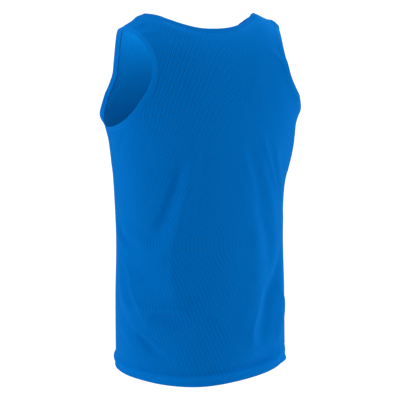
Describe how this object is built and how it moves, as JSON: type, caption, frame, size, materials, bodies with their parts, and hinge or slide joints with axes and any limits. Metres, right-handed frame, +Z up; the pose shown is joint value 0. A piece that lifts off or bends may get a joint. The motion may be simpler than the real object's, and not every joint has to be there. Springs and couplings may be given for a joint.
{
  "type": "running singlet",
  "caption": "Sleeveless running singlet in micromesh knit, hollow and filled out as if worn, with bound round neck, bound armholes and a turned-up straight hem.",
  "frame": {"origin": "midway between the two shoulder straps, at the height where they rest on the wearer", "axes": "+Z up along the wearer's body, -Y towards the garment's front, +X towards the wearer's left side"},
  "size_m": [0.401, 0.3001, 0.7121],
  "materials": {
    "back_panel": "micromesh polyester knit, matt with a soft sheen",
    "front_panel": "micromesh polyester knit, matt with a soft sheen",
    "neck_binding": "smooth plain knit",
    "left_armhole_binding": "smooth plain knit",
    "right_armhole_binding": "smooth plain knit"
  },
  "bodies": {
    "root": {"back_panel": "back_panel", "front_panel": "front_panel", "neck_binding": "neck_binding", "left_armhole_binding": "left_armhole_binding", "right_armhole_binding": "right_armhole_binding"}
  },
  "joints": []
}
